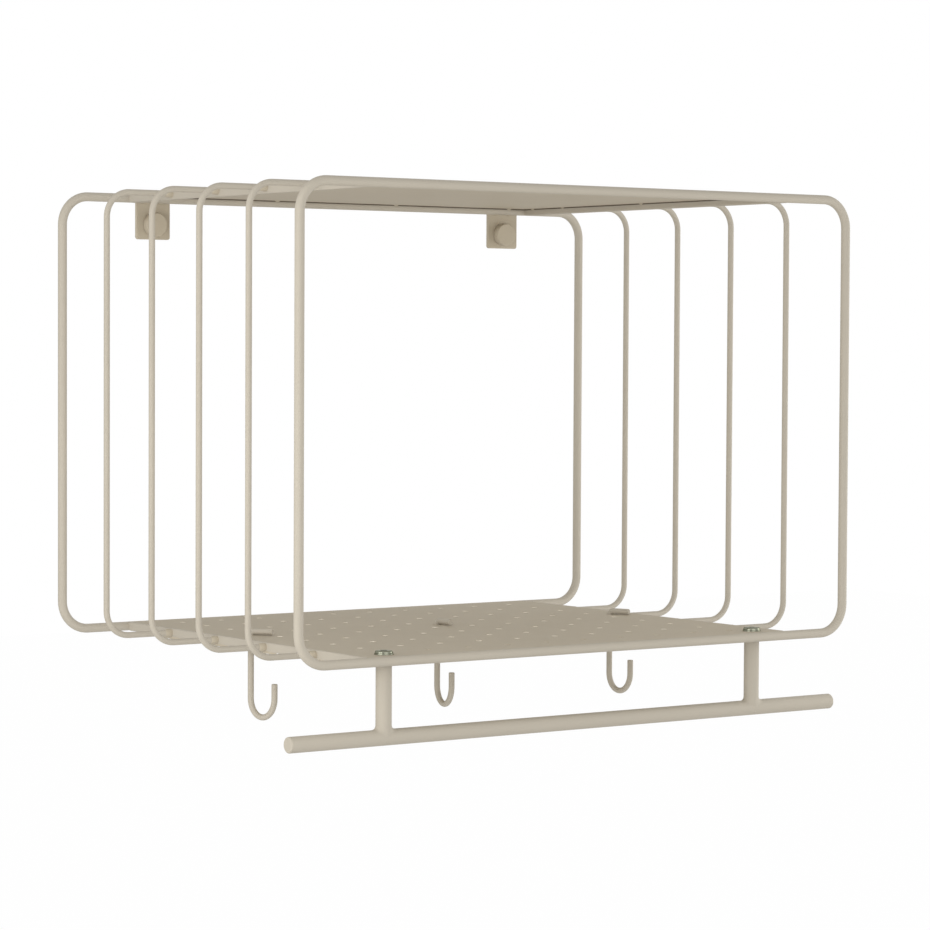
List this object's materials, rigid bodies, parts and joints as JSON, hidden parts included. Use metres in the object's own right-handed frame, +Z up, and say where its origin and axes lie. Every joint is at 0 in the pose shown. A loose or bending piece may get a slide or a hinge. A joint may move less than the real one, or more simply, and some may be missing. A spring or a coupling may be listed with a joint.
{
  "type": "hat shelf",
  "caption": "Wall-mounted hat shelf of bent round bar and sheet steel, with a punched lower sheet, a coat rail below the front edge and swivelling wire hooks.",
  "frame": {"origin": "on the wall plane, midway between the two wall holes", "axes": "+Z up, +Y into the wall, +X to the right of someone facing the shelf"},
  "size_m": [0.44, 0.3, 0.346],
  "materials": {
    "shelf_paint": "satin powder coat, warm grey",
    "cap_paint": "satin powder coat, warm grey",
    "screw_zinc": "bright zinc"
  },
  "bodies": {
    "frame": {"loop_front": "shelf_paint", "loop_back": "shelf_paint", "side_rod_left_2": "shelf_paint", "side_rod_left_3": "shelf_paint", "side_rod_left_4": "shelf_paint", "side_rod_left_5": "shelf_paint", "side_rod_right_2": "shelf_paint", "side_rod_right_3": "shelf_paint", "side_rod_right_4": "shelf_paint", "side_rod_right_5": "shelf_paint", "side_bar_top_left": "shelf_paint", "side_bar_top_right": "shelf_paint", "side_bar_bottom_left": "shelf_paint", "side_bar_bottom_right": "shelf_paint", "top_sheet": "shelf_paint", "bottom_sheet": "shelf_paint", "wall_tab_left": "shelf_paint", "wall_tab_right": "shelf_paint", "wall_cap_left": "cap_paint", "wall_cap_right": "cap_paint", "coat_rail": "shelf_paint", "rail_post_left": "shelf_paint", "rail_post_right": "shelf_paint", "rail_screw_left": "screw_zinc", "rail_screw_right": "screw_zinc"},
    "hook_left": {"hook_left": "shelf_paint"},
    "hook_middle": {"hook_middle": "shelf_paint"},
    "hook_right": {"hook_right": "shelf_paint"}
  },
  "joints": [
    {"name": "hook_left_swivel", "type": "hinge", "parent": "frame", "child": "hook_left", "pos_m": [-0.148, -0.1314, -0.2695], "axis": [0, 0, 1], "continuous": true},
    {"name": "hook_middle_swivel", "type": "hinge", "parent": "frame", "child": "hook_middle", "pos_m": [0, -0.1314, -0.2695], "axis": [0, 0, 1], "continuous": true},
    {"name": "hook_right_swivel", "type": "hinge", "parent": "frame", "child": "hook_right", "pos_m": [0.148, -0.1314, -0.2695], "axis": [0, 0, 1], "continuous": true}
  ]
}
